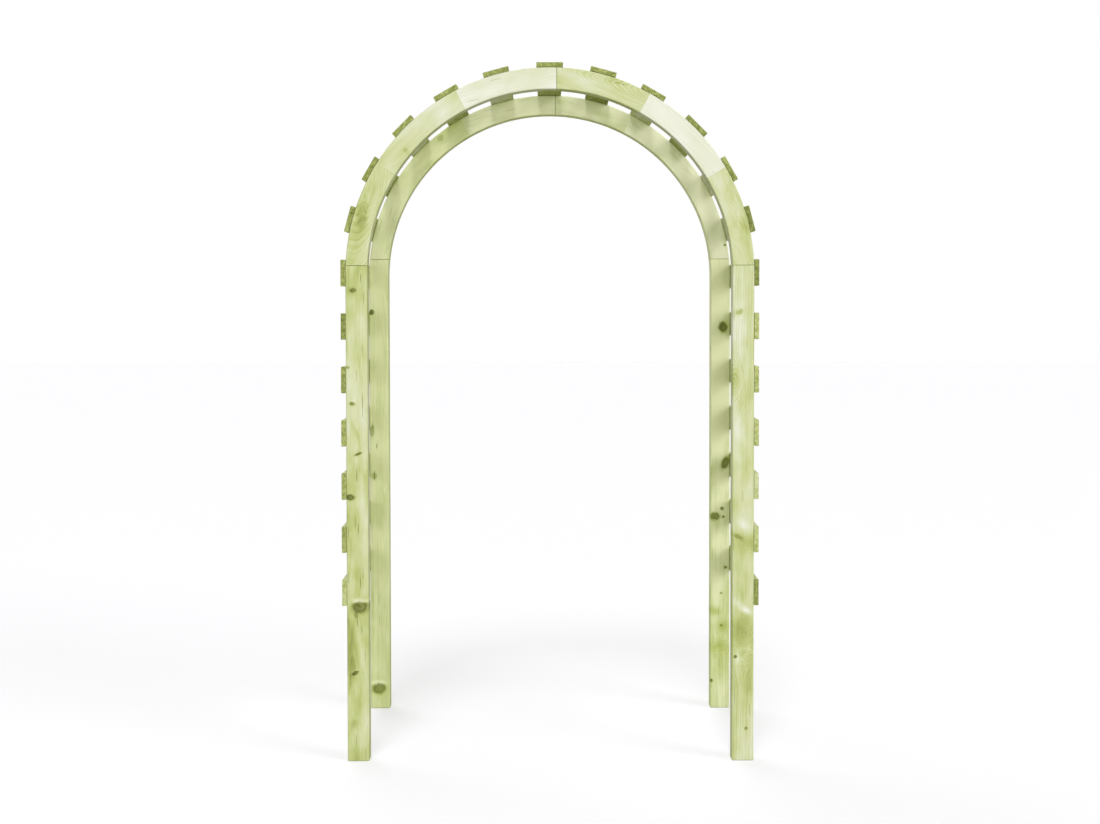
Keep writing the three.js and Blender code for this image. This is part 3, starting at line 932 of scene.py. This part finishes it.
# The boards. Knots are measured from a post's middle and the ground, or from a board's middle
POST_WOODS = {
    "front_left": Wood(0.74, pith=(-14, 70), contrast=0.2, stain=0.6, knots=(
        patch(0, 370, 70, 0.26, 2.0), patch(0, 60, 60, -0.15), patch(0, 1280, 60, -0.12, 1.8),
        Knot(-7, 1392, 7.5, dark=0.75, lens=0.5, stretch=0.8),
        Knot(-23, 1166, 4.5, dark=0.55, lens=1),
        Knot(-10, 1059, 6.5, dark=0.6, lens=1, cap=0.3),
        Knot(7, 911, 9, dark=0.9, stretch=0.45, slant=0.35, lens=0.6),
        Knot(-19, 783, 11, dark=0.95, stretch=0.6, halo=0.1),
        Knot(11, 459, 18.5, dark=0.72, halo=0.25, stretch=0.75, cap=0.9),
        Knot(6, 463, 6, dark=0.7, halo=0, stretch=0.4, slant=-0.5, swirl=0),
        Knot(-2, 437, 5, dark=0.4, halo=0.1, stretch=2.6, lens=1, swirl=0),
        patch(-14, 360, 16, 0.35, 3),
        Knot(-5, 263, 7.5, dark=1.0, lens=0.3, cap=0.5, stretch=0.7, slant=0.4),
        Knot(-7, 111, 9, dark=0.1, halo=0.25),
    )),
    "front_right": Wood(0.65, fade=-0.02, pith=(90, 40), lean=(0.004, 0), spacing=7, contrast=0.36, knots=(
        patch(0, 340, 80, 0.15, 1.6), patch(0, 1360, 60, -0.1), patch(0, 60, 60, -0.25),
        Knot(-7, 1328, 9, dark=0.2, halo=0.4, stretch=0.6, slant=0.3, swirl=1.5),
        patch(-24, 1270, 20, -0.3, 2.0),
        curl(-28, 1130, 26, 0.25, swirl=1.2, stretch=1.5, slant=-0.5),
        curl(2, 700, 18, -0.45, swirl=0.8, stretch=0.6, slant=-0.4),
        Knot(-11, 665, 9, dark=0.2, halo=0.4, stretch=0.5, slant=-0.4),
        curl(24, 650, 24, 0.35, swirl=1.6, stretch=0.7),
        curl(-4, 462, 14, -0.45, swirl=1.2, stretch=0.7, slant=-0.6),
        curl(16, 446, 10, -0.5, stretch=0.6, slant=-0.3),
        patch(0, 880, 34, 0.16, 1.3), patch(0, 1000, 40, -0.12, 1.2),
        curl(4, 385, 34, 0.48, swirl=1.5, stretch=0.8, slant=-0.3),
        curl(19, 300, 20, 0.15, swirl=1.6, slant=0.4),
        Knot(-19, 309, 4, dark=0.9, halo=0),
        curl(-9, 300, 8, -0.3, swirl=0.5),
        Knot(13, 96, 3.5, dark=0.6),
    )),
    "rear_left": Wood(0.36, fade=-0.27, vivid=1.0, pith=(12, -60), contrast=0.2, stain=0.35, knots=(
        patch(0, 600, 75, -0.17, 2.3), Knot(-20, 1326, 7, dark=0.95),
        Knot(-20, 930, 6, dark=0.4, stretch=2.6, halo=0.15),
        Knot(-5, 880, 1.2, dark=0.7, stretch=9, lens=1, halo=0, swirl=0),
        Knot(-13, 780, 7, dark=0.3, stretch=1.2, halo=0.1),
        Knot(-13, 780, 1.2, stretch=16, lens=1, halo=0, swirl=0),
        Knot(-3, 67, 18, dark=0.7, halo=0.15, cap=0.9, stretch=0.85),
    )),
    "rear_right": Wood(0.40, fade=-0.40, vivid=0.9, pith=(-8, -70), contrast=0.2, stain=0.6, knots=(
        Knot(12, 1275, 13, dark=0.9, halo=0.4),
        Knot(20, 822, 11.5, halo=0.6, stretch=1.35, slant=0.5),
        Knot(-14, 643, 12.5, dark=0.75, halo=0.35, stretch=0.8),
        Knot(10, 670, 4.5), Knot(14, 642, 3.4), Knot(22, 473, 4),
        curl(-15, 325, 14, 0.65, swirl=0.5, stretch=0.6),
        curl(0, 275, 24, 0.4, stretch=0.5), curl(-5, 205, 26, 0.5, stretch=0.6),
        Knot(-25, 92, 4), Knot(7, 386, 3, dark=0.6), Knot(7, 278, 3, dark=0.5),
    )),
}
BOARD_WOODS = {
    "front_left": (
        Wood(0.68, pith=(14, -48), lean=(0.02, 0.3), contrast=0.5, spacing=7, knots=(
            curl(15, 70, 14, 0.1), curl(10, 35, 10, 0.15), curl(20, 20, 12, 0.25, swirl=0.5),
            Knot(5, -10, 9, dark=0.15, swirl=0.6, stretch=1.6),
        )),
        Wood(0.62, pith=(-70, 30), contrast=0.16, stain=0.45, knots=(
            patch(5, 90, 40, -0.2), Knot(-18, -70, 8, dark=0.1, halo=0.1, lens=1),
        )),
        Wood(0.22, pith=(-60, 60), contrast=0.06, stain=0.25, knots=(
            patch(24, 90, 24, 0.25, 2.0), patch(24, -60, 22, 0.15, 2.0),
        )),
    ),
    "front_right": (
        Wood(0.66, pith=(-40, 50), contrast=0.26, knots=(
            curl(-6, -36, 12, -0.1, swirl=2), curl(-26, 30, 24, -0.1, swirl=1.4, stretch=1.6),
            patch(20, -19, 12, 0.4, 1.4), curl(4, 25, 12, -0.2, swirl=0.3, stretch=2),
        )),
        Wood(0.15, pith=(60, 60), contrast=0.05, stain=0.15, knots=(patch(-5, -100, 40, 0.08),)),
        Wood(0.68, pith=(22, 15), lean=(0, 0.12), contrast=0.38, spacing=2.4, stain=0.4),
    ),
    "rear_left": (
        Wood(0.0, vivid=0.9, pith=(50, -40), contrast=0.16),
        Wood(0.02, vivid=1.0, pith=(-30, -60), contrast=0.2, knots=(
            # The two patches lie right under slat_left_2 and slat_left_3: painted shadows of those slats,
            # deepest under the second.
            Knot(15, 61, 9, dark=0.2, swirl=1.5), patch(0, 125, 32, 0.35), patch(-6, -26, 30, 0.2),
        )),
        Wood(0.06, vivid=0.8, pith=(20, -50), contrast=0.16),
    ),
    "rear_right": (
        Wood(-0.08, vivid=0.7, pith=(-50, -40), contrast=0.16, knots=(Knot(24, -63, 3),)),
        Wood(-0.1, vivid=0.7, pith=(30, -60), contrast=0.16),
        Wood(0.02, vivid=0.8, pith=(-20, -50), contrast=0.16),
    ),
}

# Drying cracks of a post, each by its place across, height, length and width
POST_CHECKS = {"front_left": (
    (13, 1428, 34, 1.8), (17, 1064, 46, 2.0), (-1, 849, 44, 3.0), (3, 690, 36, 2.2),
    (8, 530, 42, 2.0), (-1, 415, 34, 2.2), (12, 392, 26, 1.8),
)}

# Where the seeds of each kind of piece start
POST_SEED = 3
BOARD_SEED = 20
SLAT_SEED = 60
CROWN_SCREW_SEED = 59


def build_frame(place, facing):
    """The posts and the round top of the front frame, facing 1, or of the rear one, turned to face -1."""
    offset = -facing * FRAME_OFFSET
    placed = Matrix.Translation(Y_AXIS * offset) @ Matrix.Rotation((1 - facing) * QUARTER, 4, "Z")
    for side in (-1, 1):
        own_side = facing * side
        label = f"{place}_{HANDS[own_side]}"
        build_post(label, side, own_side, placed, offset)
        for number in range(BOARDS_PER_HALF):
            build_board(label, side, own_side, number, placed, offset)


def build_post(label, side, own_side, placed, offset):
    seed = POST_SEED + len(label) + 2 * own_side
    post = make_post(f"{label}_post_timber", side, seed, POST_CHECKS.get(label, ()))
    post.data.transform(placed)
    places = vertex_places(post)
    out = np.hypot(places[:, 0], np.maximum(places[:, 2] - SPRING, 0)) - CENTRE_RADIUS
    origin = Vector((own_side * CENTRE_RADIUS, offset, 0))
    axes = (X_AXIS, Z_AXIS, Y_AXIS)
    dress(post, f"{label}_post", POST_WOODS[label], seed, origin, axes, RAIL_SIZE, out)


def build_board(label, side, own_side, number, placed, offset):
    node = f"{label}_arch_board_{number + 1}"
    seed = BOARD_SEED + len(label) * 3 + 5 * own_side + number
    board = make_board(f"{node}_timber", side, number, seed)
    board.data.transform(placed)
    places = vertex_places(board)
    out = np.hypot(places[:, 0], places[:, 2] - SPRING) - CENTRE_RADIUS
    middle = sum(board_ends(side, number)) / 2
    across = outward(middle, own_side)
    origin = Z_AXIS * SPRING + across * CENTRE_RADIUS + Y_AXIS * offset
    axes = (across, upward(middle, own_side), Y_AXIS)
    dress(board, node, BOARD_WOODS[label][number], seed, origin, axes, RAIL_SIZE, out)


# How much deeper some slats and slat ends are than chance has them, by number, the left ones below zero
SLAT_DEPTHS = {
    -5: 0.55, -4: 0.5, -3: -0.3, -2: 0.25, -1: -0.35, 0: 0.45,
    1: 0.7, 2: -0.15, 3: 0.35, 4: -0.2, 5: -0.2,
}
END_DEPTHS = {-7: 0.5, 6: 0.5, 7: -0.45, 8: -0.2, 9: -0.3, 10: -0.6}


def slat_wood(number, side, chance):
    """A slat's wood, by chance: over half have a knot or two, and the upper slats' ends are deeper."""
    knots = []
    for _ in range(chance.choice((0, 0, 1, 1, 2))):
        knots.append(Knot(
            across=chance.uniform(-0.4, 0.4) * SLAT_WIDTH / MM,
            along=chance.uniform(-0.42, 0.42) * SLAT_LENGTH / MM,
            radius=chance.uniform(4, 10),
            dark=chance.uniform(0.5, 1.0),
            stretch=chance.uniform(0.8, 1.3),
            slant=chance.uniform(-0.6, 0.6),
        ))
    lowest_end, deepest_end = (1.45, 1.7) if number < SLATS_PER_QUARTER else (1.1, 1.5)
    return Wood(
        tone=chance.uniform(0.6, 0.85) + SLAT_DEPTHS.get(side * number, 0),
        end=chance.uniform(lowest_end, deepest_end) + END_DEPTHS.get(side * number, 0),
        pith=(chance.uniform(-50, 50), -chance.uniform(30, 80)),
        lean=(chance.uniform(-0.03, 0.03), chance.uniform(-0.04, 0.04)),
        spacing=chance.uniform(4, 7),
        contrast=chance.uniform(0.25, 0.45),
        knots=tuple(knots),
    )


def build_slats():
    """All slats and their screws: one slat at the crown, and the same row down each side."""
    screw = screw_mesh()
    screw.materials.append(zinc_material())
    for number, side in [(0, 1)] + [(n, s) for n in range(1, SLATS_PER_SIDE + 1) for s in (-1, 1)]:
        node = slat_name(number, side)
        seed = SLAT_SEED + 2 * number + side
        chance = random.Random(seed)
        wood = slat_wood(number, side, chance)
        slat = make_slat(f"{node}_timber", number, side, seed, chance)
        centre, across, out = slat_axes(number, side)
        dress(slat, node, wood, seed, centre, (across, Y_AXIS, out), SLAT_SIZE)
        if number > 0:
            screws = make_screws(f"{node}_screws", screw, slat_screws(number, side), out, chance)
            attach(screws, "root")
    chance = random.Random(CROWN_SCREW_SEED)
    for node, head in crown_screws().items():
        detailed = make_screws(f"{node}_drive", screw, [head], Z_AXIS, chance)
        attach(detailed, "root")
        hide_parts(node)


# Studio

WHITE = (1, 1, 1, 1)
SKY = 0.2  # how bright the world lights the object
SKY_TINT = (0.97, 1.0, 0.72, 1)
FLOOR_REACH = 30
FLOOR_BOUNCE = (0.25, 0.27, 0.15, 1)  # the floor's colour where it throws light back up
FLOOR_GREY = (0.5, 0.5, 0.5, 1)  # the floor's colour to the eye, which its glow makes white
FLOOR_GLOW = 0.5
LAMP_TINT = (1.0, 0.985, 1.1)
LAMP_TARGET = (0, 0, 1.1)


def seen_rays(graph):
    """1 for rays that show a surface, also by gloss or through glass, and 0 for rays that carry light."""
    ray = graph.node("LightPath")
    seen = graph.out(ray, "Is Camera Ray")
    for label in ("Is Glossy Ray", "Is Transmission Ray"):
        seen = graph.math("MAXIMUM", seen, graph.out(ray, label))
    return seen


def build_world():
    """A white surround for the eye and for gloss, which lights the object at a plainer level."""
    world = bpy.data.worlds.new("studio")
    bpy.context.scene.world = world
    world.use_nodes = True
    graph = Graph(world.node_tree)
    seen = seen_rays(graph)
    graph.fill(world.node_tree.nodes["Background"], {
        "Color": graph.mix(seen, SKY_TINT, WHITE),
        "Strength": seen * (1 - SKY) + SKY,
    })


def build_floor():
    """A floor that is white to the eye and keeps the arch's soft shadow, but throws little light back."""
    mesh = bpy.data.meshes.new("floor")
    corners = [(FLOOR_REACH * x, FLOOR_REACH * y, 0) for x, y in ((-1, -1), (1, -1), (1, 1), (-1, 1))]
    mesh.from_pydata(corners, [], [(0, 1, 2, 3)])
    floor = add_object("floor", mesh)
    material, graph, shader = new_material("floor")
    seen = seen_rays(graph)
    graph.fill(shader, {
        "Base Color": graph.mix(seen, FLOOR_BOUNCE, FLOOR_GREY),
        "Emission Color": WHITE,
        "Emission Strength": seen * FLOOR_GLOW,
        "Roughness": 1.0,
        "Specular IOR Level": 0.0,
    })
    mesh.materials.append(material)


def new_lamp(name, kind, power):
    lamp = add_object(name, bpy.data.lights.new(name, kind))
    lamp.data.energy = power
    lamp.data.color = LAMP_TINT
    return lamp


def add_panel(name, place, width, height, power):
    """A large soft lamp that the camera doesn't see, turned to the arch's middle."""
    lamp = new_lamp(name, "AREA", power)
    lamp.data.shape = "RECTANGLE"
    lamp.data.size = width
    lamp.data.size_y = height
    lamp.location = place
    lamp.rotation_euler = (Vector(LAMP_TARGET) - Vector(place)).to_track_quat("-Z", "Y").to_euler()
    lamp.visible_camera = False


def add_lamp(name, right, up, spread, power):
    """A far, soft lamp: degrees to the right of the camera and up, how wide it looks, and its power."""
    lamp = new_lamp(name, "SUN", power)
    lamp.data.angle = radians(spread)
    level = cos(radians(up))
    heading = radians(right)
    way = Vector((level * sin(heading), -level * cos(heading), sin(radians(up))))
    lamp.rotation_euler = way.to_track_quat("Z", "Y").to_euler()


# The photograph's camera, in pixels of its 1100 x 824 frame and in metres
PICTURE_WIDTH = 1100
PICTURE_HEIGHT = 824
FOCAL_PIXELS = 1418.6
HORIZON_CENTRE_PIXEL = 345.2  # height in the picture of the point that the lens looks at
CAMERA_PLACE = (-0.00995, -4.46232, 1.34089)
CAMERA_PITCH = -0.02656
CAMERA_ROLL = 0.00139
CAMERA_YAW = -0.00239
SENSOR_WIDTH = 36.0


def build_camera():
    data = bpy.data.cameras.new("camera")
    data.sensor_width = SENSOR_WIDTH
    data.lens = FOCAL_PIXELS * SENSOR_WIDTH / PICTURE_WIDTH
    data.shift_y = (HORIZON_CENTRE_PIXEL - PICTURE_HEIGHT / 2) / PICTURE_WIDTH
    camera = add_object("camera", data)
    camera.location = CAMERA_PLACE
    camera.rotation_euler = (QUARTER + CAMERA_PITCH, CAMERA_ROLL, CAMERA_YAW)
    bpy.context.scene.camera = camera


bpy.context.scene.view_settings.view_transform = "Standard"
KNOT_TREE = knot_group()
PINE_TREE = pine_group()
build_camera()
build_world()
build_floor()
add_panel("far_front", place=(0, -20, 2.2), width=16.0, height=3.6, power=970)
add_panel("low_front", place=(0, -9, 0.8), width=4.5, height=1.2, power=195)
add_lamp("top", right=-8, up=60, spread=18, power=1.15)
add_lamp("upper_right", right=60, up=33, spread=26, power=0.88)
add_lamp("right", right=58, up=10, spread=36, power=0.46)
add_lamp("rear", right=205, up=30, spread=60, power=1.8)
build_frame("front", 1)
build_frame("rear", -1)
build_slats()
beech = beech_material()
for name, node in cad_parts.items():
    if "dowel" in name:
        node.data.materials.clear()
        node.data.materials.append(beech)
